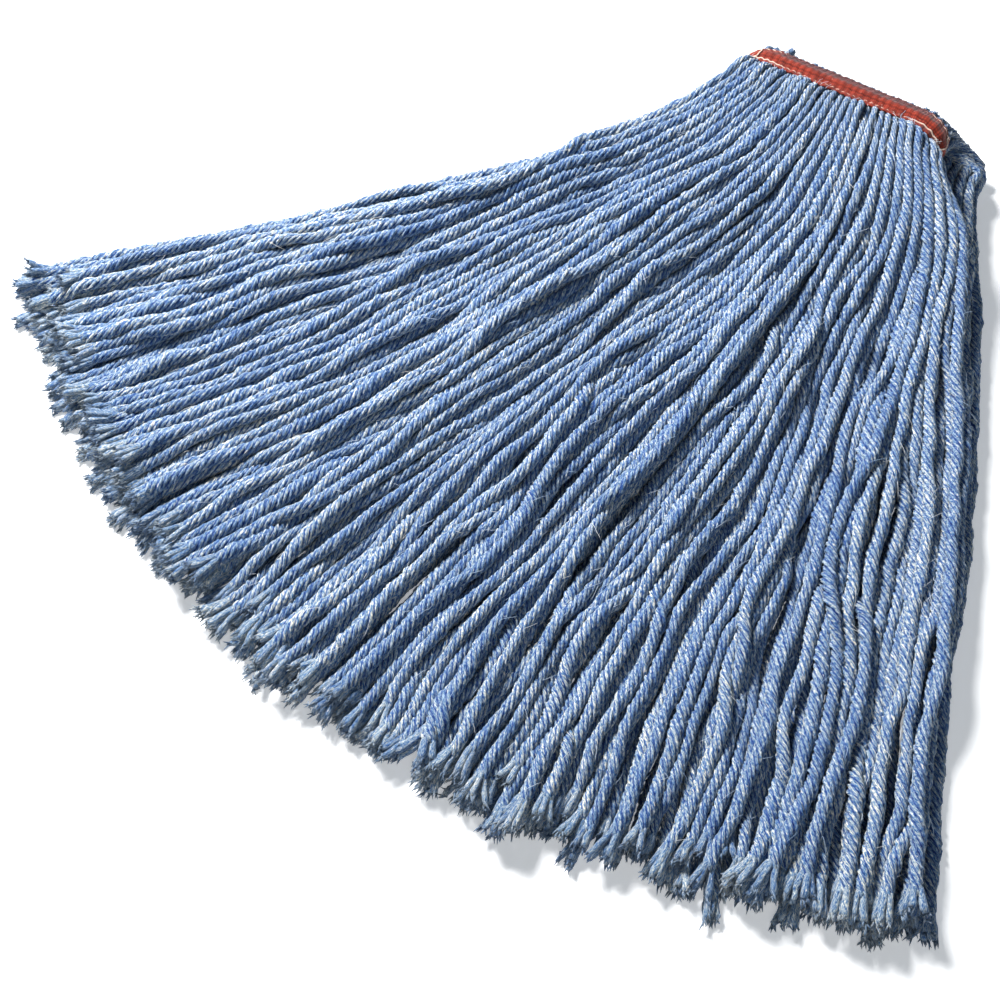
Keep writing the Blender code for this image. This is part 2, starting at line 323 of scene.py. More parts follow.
def relax(w, q, radius, settled, walls, floor, wishes):
    """Move round cross-sections apart and down until they rest on each other, the floor and settled ones."""
    wish_w, hold_w, wish_q, hold_q, weight = wishes
    own = np.arange(len(w))
    for _ in range(RELAX_ROUNDS):
        w = w + (wish_w - w) * hold_w
        q = q + (wish_q - q) * hold_q - weight
        all_w, all_q, all_radius = (np.concatenate(pair) for pair in zip((w, q, radius), settled))
        apart_w = w[:, None] - all_w
        apart_q = q[:, None] - all_q
        distance = np.hypot(apart_w, apart_q) + 1e-9
        overlap = np.maximum(radius[:, None] + all_radius - distance, 0)
        overlap[own, own] = 0
        push = overlap * np.where(np.arange(len(all_w)) < len(w), 0.4, 0.8) / distance
        w = np.clip(w + (push * apart_w).sum(1), walls[0] + radius, walls[1] - radius)
        q = np.maximum(q + (push * apart_q).sum(1), floor + radius)
    return w, q


def section_walls(section_of, sections, run, lengths):
    """Lowest and highest place across the fan for each strand, so that sections can lift apart.
    The walls between sections waver, so that no straight parting shows."""
    fade = float(ease(run / 0.12))
    edges = np.arange(sections + 1) / sections
    for edge in range(1, sections):
        waver = sum(size * math.sin(run / length + shift * edge) for size, length, shift in PARTING_WAVES)
        edges[edge] += fade * waver
    walls = np.interp(edges, ACROSS, lengths)
    size, place, spread = RIGHT_BULGE
    walls[-1] += RIGHT_PLAY * float(ease(run / SWELL_LENGTH)) + size * math.exp(-((run - place) / spread)**2)
    return walls[section_of], walls[section_of + 1]


def fan_place(u, station, q, run, upper):
    """X, Y and Z of u on a station of one half's middle line, q out from that line. Inputs may be arrays."""
    forward = station[..., 0] + station[..., 2] * q
    height = station[..., 1] + station[..., 3] * q
    y = fan_y(u, forward)
    if upper:
        distance = np.hypot(y + BAND_MIDDLE.y - HINGE.y, height - HINGE.z) - FAN_START
        opened = np.clip(run / OPENING_LENGTH, 0, 1)
        swell_share = opened * (2 - opened)
    else:
        distance = -y
        dropped = (LOWER_EDGE.z - station[..., 1]) * BACK_SWELL
        swell_share = (BEHIND_SHARE * ease(np.maximum(distance, dropped) / SWELL_LENGTH)
                       + (1 - BEHIND_SHARE) * ease(distance / (2 * OPENING_LENGTH)))
    x = fan_x(u, np.where(run < 0, 0.0, distance), np.where(run < 0, 0.0, swell_share))
    return np.stack(np.broadcast_arrays(x + BAND_MIDDLE.x, y + BAND_MIDDLE.y, height), -1)


def arc(station, run, upper):
    """Lengths across the fan, along its arc at one station, at each u of ACROSS, from the middle out."""
    points = fan_place(ACROSS, station, 0.0, run, upper)
    lengths = np.concatenate([[0], np.cumsum(np.linalg.norm(np.diff(points, axis=0), axis=1))])
    return lengths - np.interp(0.5, ACROSS, lengths)


def lay_out(line, radius, under):
    """Pack one half from the band outwards. under is the settled half that this one lies on, or None.
    Gives each strand's share of the fan, offset from the middle line and radius at each station."""
    upper = under is not None
    u0, q0 = start_grid()
    q0 = q0 if upper else -q0
    sections = len(SECTIONS) if upper else 1
    section_of = section_numbers(u0, sections)
    runs = line[:, 5] - BAND_WIDTH / 2 - HIDDEN_START
    sway = drift(u0, runs) + wander(len(u0), runs, *MEANDER) * ease(runs / 0.06)[:, None]
    u = u0
    q = q0 * PRESSED_PILE / 2
    half = {"line": line, "runs": runs, "u": [], "q": [], "size": []}
    for j, station in enumerate(line):
        forward, height, _, _, thickness, _ = station
        lengths = arc(station, runs[j], upper)
        size = radius * (PINCH + (1 - PINCH) * float(ease(runs[j] / SPREAD_LENGTH)))
        grip = 1 - float(ease(runs[j] / GRIP_LENGTH))
        lying = float(ease((forward - LYING_START) / LYING_LENGTH)) * float(runs[j] > BACK_RUN)
        settled = (np.empty(0), np.empty(0), np.empty(0))
        if upper and lying > 0:
            k = int(np.argmin(np.abs(under["line"][:, 0] - forward) + (under["runs"] < BACK_RUN)))
            settled_w = np.interp(under["u"][k], ACROSS, lengths)
            settled = (settled_w, under["q"][k] + under["line"][k, 1] - height, under["size"][k])
        floor = -thickness / 2 * (1 - lying) - height * lying
        walls = section_walls(section_of, sections, runs[j], lengths)
        wishes = (np.interp(u0, ACROSS, lengths) + sway[j], SIDE_HOLD + GRIP_HOLD * grip, q0 * thickness / 2,
                  GRIP_HOLD * grip + HEIGHT_HOLD * (1 - lying) * (1 - grip), SINKING * lying)
        start_w = np.interp(u, ACROSS, lengths)
        w, q = relax(start_w, q, size * (1 - 0.45 * grip), settled, walls, floor, wishes)
        u = np.interp(w, lengths, ACROSS)
        half["u"].append(u)
        half["q"].append(q)
        half["size"].append(size)
    half["u"] = smooth(np.array(half["u"]), 1.7)
    half["q"] = smooth(np.array(half["q"]), 1.7)
    half["size"] = np.array(half["size"])
    return half


def strand_paths(half, upper):
    """Points of every strand in world coordinates: an array of station, strand, axis."""
    runs = half["runs"][:, None]
    outwards = 1 if upper else -1
    _, q0 = start_grid()
    outermost = q0 > ROW_STEP
    peaks = BUMP_HEIGHT * np.clip(RANDOM.normal(0.6 if upper else -0.35, 0.45, len(q0)), 0, 1.2) * outermost
    q = half["q"] + outwards * peaks * np.exp(-((runs - BUMP_PLACE) / BUMP_PLACE)**2)
    points = fan_place(half["u"], half["line"][:, None], q, runs, upper)
    share = 1 - ease(runs / (UPPER_DROOP_LENGTH if upper else LOWER_DROOP_LENGTH))
    in_pile = outwards * np.clip(q, -PRESSED_PILE / 2, PRESSED_PILE / 2)
    along_x, out = droop((half["u"] - 0.5) * ROOT_WIDTH, in_pile)
    return moved(points, (along_x * share, out * share))


# ---- Yarn: a twisted section swept along each path ----

def resample(points, step):
    """Points a step apart on a smooth curve through the given points, and the lengths at which they lie."""
    chord = np.linalg.norm(np.diff(points, axis=0), axis=1)
    knots = np.concatenate([[0], np.cumsum(chord)])
    slopes = np.gradient(points, knots, axis=0)
    places = np.linspace(0, knots[-1], max(int(knots[-1] / step), 2) + 1)
    i = np.clip(np.searchsorted(knots, places, side="right") - 1, 0, len(knots) - 2)
    span = (knots[i + 1] - knots[i])[:, None]
    t = (places - knots[i])[:, None] / span
    curve = ((2 * t**3 - 3 * t**2 + 1) * points[i] + (t**3 - 2 * t**2 + t) * span * slopes[i]
             + (3 * t**2 - 2 * t**3) * points[i + 1] + (t**3 - t**2) * span * slopes[i + 1])
    return curve, places


def unit(rows):
    return rows / (np.linalg.norm(rows, axis=-1, keepdims=True) + 1e-12)


def frames(points):
    """Unit vectors to the side of and above a path that doesn't run along X."""
    along = unit(np.gradient(points, axis=0))
    side = unit(np.array([1.0, 0.0, 0.0]) - along * along[:, 0:1])
    return side, np.cross(side, along)


class TubeBatch:
    """Collects the corners, faces and surface values of many tubes, and makes one mesh of them."""

    def __init__(self):
        self.corners = []
        self.faces = []
        self.values = []
        self.count = 0

    def add(self, rings, values):
        """Closed tube through rings (ring, corner, axis). values hold five numbers for each corner."""
        n, m, _ = rings.shape
        index = self.count + np.arange(n * m).reshape(n, m)
        following = np.roll(index, -1, axis=1)
        quads = np.stack([index[:-1], following[:-1], following[1:], index[1:]], -1).reshape(-1, 4)
        self.faces += [quads, index[:1, ::-1], index[-1:]]
        self.corners.append(rings.reshape(-1, 3))
        self.values.append(values.reshape(-1, 5))
        self.count += n * m

    def make(self, name, material):
        values = np.concatenate(self.values)
        attributes = {"yarn_place": values[:, :3], "tone": values[:, 3], "relief": values[:, 4]}
        return make_piece(name, np.concatenate(self.corners), self.faces, attributes, material)


def make_piece(name, corners, faces, attributes, material):
    """Object with a smooth mesh. faces is a list of arrays, each with one face in a row."""
    loops = np.concatenate([f.ravel() for f in faces])
    sizes = np.concatenate([np.full(len(f), f.shape[1]) for f in faces])
    mesh = bpy.data.meshes.new(name)
    mesh.vertices.add(len(corners))
    mesh.vertices.foreach_set("co", corners.astype(np.float32).ravel())
    mesh.loops.add(len(loops))
    mesh.loops.foreach_set("vertex_index", loops.astype(np.int32))
    mesh.polygons.add(len(sizes))
    mesh.polygons.foreach_set("loop_start", np.concatenate([[0], np.cumsum(sizes)[:-1]]).astype(np.int32))
    mesh.update(calc_edges=True)
    for key, rows in attributes.items():
        kind, field = ("FLOAT", "value") if rows.ndim == 1 else ("FLOAT_VECTOR", "vector")
        layer = mesh.attributes.new(key, kind, "POINT")
        layer.data.foreach_set(field, rows.astype(np.float32).ravel())
    mesh.shade_smooth()
    mesh.materials.append(material)
    obj = bpy.data.objects.new(name, mesh)
    bpy.context.scene.collection.objects.link(obj)
    return obj


def pattern_values(angle, places, tone, relief):
    """Surface values of a tube: its place in the yarn pattern, its tone, and its relief, which sets how much
    painted shade the yarn material gives it.
    """
    values = np.zeros((len(places), len(angle), 5))
    values[..., 0] = np.cos(angle) + 7 * tone
    values[..., 1] = np.sin(angle)
    values[..., 2] = places[:, None] / PATTERN_UNIT + 40 * tone
    values[..., 3] = tone
    values[..., 4] = relief
    return values


def yarn_tube(path, radius, tone, step):
    """Rings, surface values and middle line of one strand, from its radius at each point of the path."""
    points, places = resample(path, step)
    width = np.interp(places, np.linspace(0, places[-1], len(path)), radius)
    start = RANDOM.uniform(0, 2 * np.pi)
    width *= 1 + 0.07 * np.sin(places / 0.017 + start) + 0.06 * np.sin(places / 0.0061 + 3 * start)
    width[0] *= 0.6
    width[-1] *= 0.8
    side, up = frames(points)
    corners = PLIES * len(PLY_SHAPE)
    angle = 2 * np.pi * np.arange(corners) / corners
    ply_size = np.repeat(RANDOM.normal(1, 0.08, PLIES), len(PLY_SHAPE))
    outline = np.tile(PLY_SHAPE, PLIES) * ply_size
    turned = angle + 2 * np.pi * places[:, None] / (LAY_LENGTH * RANDOM.uniform(0.85, 1.2)) + start
    reach = width[:, None] * outline * RANDOM.normal(1, 0.045, turned.shape)
    rings = (points[:, None] + side[:, None] * (reach * np.cos(turned))[..., None]
             + up[:, None] * (reach * np.sin(turned))[..., None])
    rings[..., 2] = np.maximum(rings[..., 2], FLOOR_CLEAR)
    # Relief 0 marks the groove corner of each ply, which the yarn material darkens as painted shade.
    relief = np.tile((1.0, 1.0, 0.0), PLIES)
    return rings, pattern_values(angle, places, tone, relief), points


def round_tube(batch, points, thick, corners, tone, relief):
    """Plain tube through points, resting no lower than the floor."""
    points = np.array(points)
    points[:, 2] = np.maximum(points[:, 2], FLOOR_CLEAR + thick)
    along = unit(np.gradient(points, axis=0))
    level = unit(np.cross(along, [0.02, 0.01, 1.0]))
    up = np.cross(level, along)
    angle = 2 * np.pi * np.arange(corners) / corners
    rings = points[:, None] + thick[:, None, None] * (level[:, None] * np.cos(angle)[:, None]
                                                     + up[:, None] * np.sin(angle)[:, None])
    places = np.concatenate([[0], np.cumsum(np.linalg.norm(np.diff(points, axis=0), axis=1))])
    batch.add(rings, pattern_values(angle, places, tone, relief))


def cut_end(batch, points, radius, tone):
    """Bunches of fibres that open like a worn brush at a cut end, with a fringe of single fibres."""
    way = unit(points[-1] - points[-4])
    side = unit(np.cross(way, [0, 0, 1.0]))
    up = np.cross(side, way)
    turn = RANDOM.uniform(0, 2 * np.pi)
    opening = RANDOM.uniform(0.05, 0.50)
    lean = side * RANDOM.normal(0, 0.16)
    reach = RANDOM.uniform(*TUFT_LENGTHS)
    t = np.linspace(0, 1, 6)[:, None]
    for tuft in range(TUFTS):
        angle = turn + 2 * np.pi * tuft / (TUFTS - 1) + RANDOM.normal(0, 0.25)
        outwards = (side * math.cos(angle) + up * math.sin(angle)) * float(tuft > 0)
        length = reach * RANDOM.uniform(0.75, 1.1)
        line = points[-1] - way * 0.004 + outwards * radius * 0.56 + way * (length + 0.004) * t
        line = line + (outwards * opening * RANDOM.uniform(0.5, 1.3) + lean) * length * t**1.5
        line = line + RANDOM.normal(0, 0.00022, line.shape) * t - np.array([0, 0, 0.16]) * length * t**2
        thick = radius * RANDOM.uniform(0.40, 0.50) * np.array([0.7, 0.95, 1, 1.05, 1.1, 0.8])
        uneven = thick * RANDOM.normal(1, 0.06, 6)
        # Each bunch takes a random share of the yarn material's painted groove shade through its relief.
        round_tube(batch, line, uneven, 7, tone + 0.03 * tuft, RANDOM.uniform(0.6, 1.0))
        for _ in range(FIBRES_PER_TUFT):
            root = line[-1] + unit(RANDOM.normal(0, 1, 3)) * thick[-2] * 0.7
            heading = unit(way + outwards * opening + RANDOM.normal(0, 0.35, 3))
            spread = heading * RANDOM.uniform(0.0015, 0.0038)
            hair = np.array([root - spread * 0.5, root + spread * 0.4, root + spread])
            round_tube(batch, hair, np.array([0.00055, 0.00045, 0.00012]), 3, tone, 0.8)


def lint(batch, strands, count):
    """Fine loose fibres that lie on the yarn and stand off it a little."""
    for pick in RANDOM.integers(0, len(strands), count):
        strand = strands[pick]
        ring = RANDOM.integers(6, len(strand["points"]) - 4)
        middle = strand["points"][ring]
        along = unit(strand["points"][ring + 2] - strand["points"][ring - 2])
        aside = unit(np.cross(along, [0, 0, 1.0]))
        lean = RANDOM.normal(0, 0.8)
        outwards = np.cross(aside, along) * math.cos(lean) + aside * math.sin(lean)
        root = middle + outwards * strand["radius"] * 0.93
        length = RANDOM.uniform(0.003, 0.009)
        heading = unit(along * RANDOM.choice([-1, 1]) + np.cross(outwards, along) * RANDOM.normal(0.5, 0.5))
        t = np.linspace(0, 1, 5)[:, None]
        line = root + heading * length * t + outwards * length * RANDOM.uniform(0.08, 0.4) * t * (1.25 - t)
        line = line + RANDOM.normal(0, 0.00018, line.shape) * t
        round_tube(batch, line, np.full(5, 0.00009), 3, strand["tone"], 1.0)


# ---- Headband ----

def half_pile(x):
    """Half the thickness of the pressed strands at x: even in the middle, rounded off at the band's ends."""
    into_end = np.maximum(np.abs(x) - BAND_FLAT_LENGTH / 2, 0) / ((BAND_LENGTH - BAND_FLAT_LENGTH) / 2)
    return PRESSED_PILE / 2 * np.sqrt(np.maximum(1 - into_end**2, 0))


def band_points(x, along, out):
    """World places on the band from arrays of its own coordinates, with the right end bent down."""
    plane = np.array(BAND_MIDDLE) + along[..., None] * np.array(ALONG)
    along_x, outwards = droop(x, out)
    return moved(plane, (x + along_x, out + outwards))


def tape_face(x, along):
    """Height of the tape's inner face over the band's middle plane: low under the seams, crowned between."""
    half = half_pile(x)
    crown = CROWN_HEIGHT * ease((CROWN_FOOT - np.abs(along)) / (CROWN_FOOT - CROWN_TOP))
    strands_beneath = 0.00025 * np.cos(2 * np.pi * x * STRANDS_PER_SIDE / BAND_ROWS / ROOT_WIDTH)
    ridge = RIDGE_HEIGHT * np.exp(-((along - RIDGE_PLACE) / RIDGE_SPREAD)**2)
    return half + (crown + ridge + strands_beneath) * half / (PRESSED_PILE / 2) + GAP


def weave(x, along):
    """Height of a plain weave, from 0 in the holes between threads to 1 on top of a thread."""
    a = x / WEAVE_PITCH
    b = along / WEAVE_PITCH
    parity = (np.floor(a) + np.floor(b)) % 2
    arch_a = np.sin(np.pi * (a % 1))
    arch_b = np.sin(np.pi * (b % 1))
    first_over = arch_a**0.5 * (0.35 + 0.65 * arch_b)
    second_over = arch_b**0.5 * (0.35 + 0.65 * arch_a)
    return np.where(parity == 0, first_over, second_over)


def make_tape(name, side, step, material):
    """Woven tape on the outer face (side 1) or the inner face (side -1) of the pressed strands."""
    columns = int(BAND_LENGTH / step)
    rows = int(BAND_WIDTH / step)
    swing = np.sin(np.linspace(-np.pi / 2, np.pi / 2, columns + 1))
    x = np.linspace(-0.5, 0.5, columns + 1) * BAND_LENGTH
    x = x + 0.02 * BAND_LENGTH * (swing / 2 - x / BAND_LENGTH)
    grid_x, grid_a = np.meshgrid(x, np.linspace(-0.5, 0.5, rows + 1) * BAND_WIDTH, indexing="ij")
    edge_wave = 0.0004 * np.sin(grid_x / 0.0061) + 0.0003 * np.sin(grid_x / 0.0023)
    grid_a = grid_a + edge_wave * (np.abs(grid_a) / (BAND_WIDTH / 2))**3
    relief = weave(grid_x, grid_a)
    near = tape_face(grid_x, grid_a)
    far = near + TAPE_THICKNESS + (relief - 0.6) * WEAVE_HEIGHT
    seam = np.exp(-((np.abs(grid_a) - (BAND_WIDTH / 2 - SEAM_INSET)) / 0.0007)**2)
    far = far - 0.00025 * seam
    top = band_points(grid_x, grid_a, side * far)
    bottom = band_points(grid_x, grid_a, side * near)
    index = np.arange(top.shape[0] * top.shape[1]).reshape(top.shape[:2])
    count = index.size
    quads = np.stack([index[:-1, :-1], index[1:, :-1], index[1:, 1:], index[:-1, 1:]], -1).reshape(-1, 4)
    rim = np.concatenate([index[:-1, 0], index[-1, :-1], index[:0:-1, -1], index[0, :0:-1]])
    rim_next = np.roll(rim, -1)
    walls = np.stack([rim_next, rim, rim + count, rim_next + count], -1)
    faces = [quads, quads[:, ::-1] + count, walls]
    if side < 0:
        faces = [f[:, ::-1] for f in faces]
    corners = np.concatenate([top.reshape(-1, 3), bottom.reshape(-1, 3)])
    pattern = np.stack([grid_x, grid_a, np.zeros_like(grid_x)], -1).reshape(-1, 3) / WEAVE_PITCH
    # Share of the tape that lies above its fold and at its ends: there the plain weave colour shows, elsewhere
    # the material paints the weave darker, as shade.
    above_fold = ease((grid_a - RIDGE_PLACE) / 0.003 + 0.5)
    at_ends = ease((np.abs(grid_x) - 0.042) / 0.012)
    dense_unshaded_share = np.maximum(above_fold, at_ends).ravel()
    # The face against the pile gets a third of the relief, so it takes the dark colours of the weave's painted
    # hole shade.
    attributes = {"tape_place": np.concatenate([pattern, pattern]), "dense_unshaded_share": np.concatenate([dense_unshaded_share, dense_unshaded_share]),
                  "relief": np.concatenate([relief.ravel(), relief.ravel() * 0.3])}
    return make_piece(name, corners, faces, attributes, material)


def thread_tube(name, points, material):
    batch = TubeBatch()
    round_tube(batch, points, np.full(len(points), THREAD_RADIUS), 8, 0.5, 1.0)
    return batch.make(name, material)


def make_seam(name, side, row, material):
    """Lockstitch along one long edge of a tape, dipping into it at each needle hole."""
    x = np.arange(-ROOT_WIDTH / 2, ROOT_WIDTH / 2, STITCH_LENGTH / 8)
    along = row * (BAND_WIDTH / 2 - SEAM_INSET) + 0.0002 * np.sin(x / 0.004)
    arch = np.abs(np.sin(np.pi * x / STITCH_LENGTH))**0.6
    sunk = 1.8 * (1 - ease((np.abs(x) - 0.034) / 0.014))
    out = tape_face(x, along) + TAPE_THICKNESS + THREAD_RADIUS * (1.1 * arch - 0.6 - sunk)
    return thread_tube(name, band_points(x, along, side * out), material)


def make_tack(name, end, material):
    """Thread that crosses from one row of stitches to the other near one end of the outer tape."""
    along = np.linspace(-1, 1, 30) * (BAND_WIDTH / 2 - SEAM_INSET)
    x = end * (BAND_LENGTH / 2 - TACK_INSET) + 0.0012 * np.sin(along / 0.003)
    out = tape_face(x, along) + TAPE_THICKNESS + THREAD_RADIUS * 0.8
    return thread_tube(name, band_points(x, along, out), material)


def add_headband():
    tape = tape_material()
    thread = thread_material()
    for name, side, step in (("outer", 1, 0.00034), ("inner", -1, 0.00050)):
        piece = make_tape(f"{name}_tape_cloth", side, step * (1), tape)
        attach(piece, "lower_half")
        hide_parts(f"headband_{name}_tape")
        for row_name, row in (("upper", 1), ("lower", -1)):
            seam = make_seam(f"{name}_{row_name}_stitches", side, row, thread)
            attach(seam, "lower_half")
            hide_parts(f"{name}_seam_{row_name}")
    for name, end in (("left", -1), ("right", 1)):
        tack = make_tack(f"{name}_tack_stitch", end, thread)
        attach(tack, "lower_half")
        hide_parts(f"end_tack_{name}")


# ---- Materials ----

def new_material(name, roughness, sheen):
    material = bpy.data.materials.new(name)
    material.use_nodes = True
    tree = material.node_tree
    shader = tree.nodes["Principled BSDF"]
    shader.inputs["Roughness"].default_value = roughness
    shader.inputs["Specular IOR Level"].default_value = 0.2
    shader.inputs["Sheen Weight"].default_value = sheen
    shader.inputs["Sheen Roughness"].default_value = 0.5
    return material, tree, shader


def ramp(tree, source, stops):
    """Colour ramp fed by a socket. stops are pairs of place and colour."""
    node = tree.nodes.new("ShaderNodeValToRGB")
    while len(node.color_ramp.elements) < len(stops):
        node.color_ramp.elements.new(0.5)
    for element, (place, colour) in zip(node.color_ramp.elements, stops):
        element.position = place
        element.color = (*colour, 1)
    tree.links.new(source, node.inputs["Fac"])
    return node.outputs["Color"]


def noise(tree, vector, scale, detail, stretch=(1, 1, 1)):
    mapping = tree.nodes.new("ShaderNodeMapping")
    mapping.inputs["Scale"].default_value = stretch
    tree.links.new(vector, mapping.inputs["Vector"])
    node = tree.nodes.new("ShaderNodeTexNoise")
    node.inputs["Scale"].default_value = scale
    node.inputs["Detail"].default_value = detail
    node.inputs["Roughness"].default_value = 0.6
    tree.links.new(mapping.outputs["Vector"], node.inputs["Vector"])
    return node.outputs["Fac"]


def mix(tree, kind, factor, first, second):
    """Mixed colour of two sockets or colours. factor is a number or a socket."""
    node = tree.nodes.new("ShaderNodeMix")
    node.data_type = "RGBA"
    node.blend_type = kind
    for socket, value in zip((node.inputs[0], node.inputs[6], node.inputs[7]), (factor, first, second)):
        if isinstance(value, bpy.types.NodeSocket):
            tree.links.new(value, socket)
        elif isinstance(value, tuple):
            socket.default_value = (*value, 1)
        else:
            socket.default_value = value
    return node.outputs[2]


def surface_value(tree, name, output):
    node = tree.nodes.new("ShaderNodeAttribute")
    node.attribute_name = name
    return node.outputs[output]


def bump(tree, shader, height, strength, distance):
    node = tree.nodes.new("ShaderNodeBump")
    node.inputs["Strength"].default_value = strength
    node.inputs["Distance"].default_value = distance
    tree.links.new(height, node.inputs["Height"])
    tree.links.new(node.outputs["Normal"], shader.inputs["Normal"])


def yarn_material():
    """Heathered blue blend: pale and dark fibres along the plies, cream flecks, and painted shade between the
    plies.
    """
    material, tree, shader = new_material("mop_yarn", 0.95, 0.15)
    place = surface_value(tree, "yarn_place", "Vector")
    tone = surface_value(tree, "tone", "Fac")
    relief = surface_value(tree, "relief", "Fac")
    fibres = noise(tree, place, 5.6, 4.0, (1, 1, 0.42))
    colour = ramp(tree, fibres, ((0.33, (0.006, 0.044, 0.160)), (0.45, (0.090, 0.212, 0.425)),
                                 (0.54, (0.392, 0.455, 0.460)), (0.66, (0.875, 0.870, 0.825))))
    shades = noise(tree, place, 0.9, 1.0, (1, 1, 0.13))
    shade_tint = ramp(tree, shades, ((0.34, (0.55, 0.68, 0.86)), (0.5, (0.95, 0.97, 1.0)),
                                     (0.66, (1.30, 1.20, 1.10))))
    colour = mix(tree, "MULTIPLY", 1.0, colour, shade_tint)
    strand_tint = ramp(tree, tone, ((0.0, (0.74, 0.82, 0.92)), (0.5, (1.0, 1.0, 1.0)),
                                    (1.0, (1.22, 1.16, 1.08))))
    colour = mix(tree, "MULTIPLY", 1.0, colour, strand_tint)
    flecks = noise(tree, place, 2.6, 1.0, (1, 1, 0.6))
    fleck_mask = ramp(tree, flecks, ((0.68, (0, 0, 0)), (0.74, (1, 1, 1))))
    colour = mix(tree, "MIX", fleck_mask, colour, (0.78, 0.74, 0.68))
    # Painted shade: darker and bluer in the grooves between the plies, where the relief is low.
    painted_groove_shade = ramp(tree, relief, ((0.0, (0.04, 0.16, 0.50)), (0.75, (1.0, 1.0, 1.0))))
    colour = mix(tree, "MULTIPLY", 1.0, colour, painted_groove_shade)
    tree.links.new(colour, shader.inputs["Base Color"])
    bump(tree, shader, fibres, 0.8, 0.0012)
    return material


def lint_material():
    material, tree, shader = new_material("loose_lint", 0.95, 0.1)
    tone = surface_value(tree, "tone", "Fac")
    colour = ramp(tree, tone, ((0.0, (0.35, 0.50, 0.70)), (0.6, (0.70, 0.76, 0.84)),
                               (1.0, (0.85, 0.82, 0.76))))
    tree.links.new(colour, shader.inputs["Base Color"])
    return material


def tape_material():
    """Open orange-red mesh tape: painted shade from the thread tops down into the holes, darker painted shade
    and a more open weave below the fold, pale worn fibres.
    """
    material, tree, shader = new_material("orange_mesh_tape", 0.80, 0.1)
    relief = surface_value(tree, "relief", "Fac")
    place = surface_value(tree, "tape_place", "Vector")
    dense_unshaded_share = surface_value(tree, "dense_unshaded_share", "Fac")
    # Painted shade: the weave's colour darkens from the thread tops down into the holes.
    colour = ramp(tree, relief, ((0.12, (0.040, 0.006, 0.006)), (0.40, (0.160, 0.017, 0.010)),
                                 (0.75, (0.260, 0.027, 0.012)), (1.0, (0.360, 0.058, 0.030))))
    # Below the fold: a more open weave, painted darker as shade, with paler thread tops.
    open_weave_painted_shade = ramp(tree, relief, ((0.35, (0.014, 0.004, 0.010)), (0.62, (0.090, 0.014, 0.016)),
                                (0.84, (0.210, 0.045, 0.042)), (0.95, (0.560, 0.330, 0.310))))
    # Above the fold and at the ends the plain weave shows; below the fold the weave is painted darker, as
    # shade, and more open.
    colour = mix(tree, "MIX", dense_unshaded_share, open_weave_painted_shade, colour)
    patches = noise(tree, place, 0.16, 2.0)
    patch_tint = ramp(tree, patches, ((0.38, (0.62, 0.60, 0.62)), (0.60, (1.15, 1.12, 1.05))))
    colour = mix(tree, "MULTIPLY", 1.0, colour, patch_tint)
    worn = noise(tree, place, 0.9, 3.0)
    worn_mask = ramp(tree, worn, ((0.64, (0, 0, 0)), (0.72, (0.6, 0.6, 0.6))))
    colour = mix(tree, "MIX", worn_mask, colour, (0.60, 0.36, 0.30))
    tree.links.new(colour, shader.inputs["Base Color"])
    fibres = noise(tree, place, 2.5, 3.0)
    bump(tree, shader, fibres, 0.5, 0.0004)
    return material


def thread_material():
    material, tree, shader = new_material("cream_thread", 0.7, 0.1)
    place = surface_value(tree, "yarn_place", "Vector")
    twist = noise(tree, place, 6.0, 2.0)
    colour = ramp(tree, twist, ((0.35, (0.62, 0.40, 0.31)), (0.65, (0.90, 0.74, 0.62))))
    tree.links.new(colour, shader.inputs["Base Color"])
    bump(tree, shader, twist, 0.4, 0.0003)
    return material


def floor_material():
    material, tree, shader = new_material("pale_floor", 0.9, 0.0)
    coordinates = tree.nodes.new("ShaderNodeTexCoord")
    mottle = noise(tree, coordinates.outputs["Object"], 3.0, 2.0)
    colour = ramp(tree, mottle, ((0.3, (0.90, 0.90, 0.90)), (0.7, (0.94, 0.94, 0.94))))
    tree.links.new(colour, shader.inputs["Base Color"])
    shader.inputs["Emission Color"].default_value = (1, 1, 1, 1)
    shader.inputs["Emission Strength"].default_value = 0.32
    return material


# ---- Stage ----

def add_area_light(name, place, size, energy):
    light = bpy.data.lights.new(name, "AREA")
    light.shape = "DISK"
    light.size = size
    light.energy = energy
    obj = bpy.data.objects.new(name, light)
    obj.location = place
    obj.rotation_euler = (-Vector(place)).to_track_quat("-Z", "Y").to_euler()
    bpy.context.scene.collection.objects.link(obj)


def add_stage():
    bpy.ops.mesh.primitive_plane_add(size=40, location=(0, 0, -0.0002))
    floor = bpy.context.object
    floor.name = "floor"
    floor.data.materials.append(floor_material())
    world = bpy.data.worlds.new("studio")
    world.use_nodes = True
    world.node_tree.nodes["Background"].inputs["Color"].default_value = (0.50, 0.75, 1.0, 1)
    world.node_tree.nodes["Background"].inputs["Strength"].default_value = 0.12
    bpy.context.scene.world = world
    add_area_light("key", (-0.70, 0.18, 0.88), 0.36, 34)
    add_area_light("fill", (0.6, -1.3, 1.0), 1.0, 5)
    bpy.context.scene.view_settings.view_transform = "Standard"


def add_camera():
    """Camera at the photograph's viewing angle, aimed at the middle of the fan."""
    azimuth, elevation, distance = math.radians(33.4), math.radians(57.0), 0.6794
    aim = Vector((BAND_MIDDLE.x - 0.0298, BAND_MIDDLE.y - 0.3118, 0))
    back = Vector((math.sin(azimuth) * math.cos(elevation), -math.cos(azimuth) * math.cos(elevation),
                   math.sin(elevation)))
    data = bpy.data.cameras.new("camera")
    data.lens = 49.5
    data.sensor_width = 36
    camera = bpy.data.objects.new("camera", data)
    camera.location = aim + back * distance
    camera.rotation_euler = (-back).to_track_quat("-Z", "Y").to_euler()
    bpy.context.scene.collection.objects.link(camera)
    bpy.context.scene.camera = camera


# ---- Putting the yarn together ----

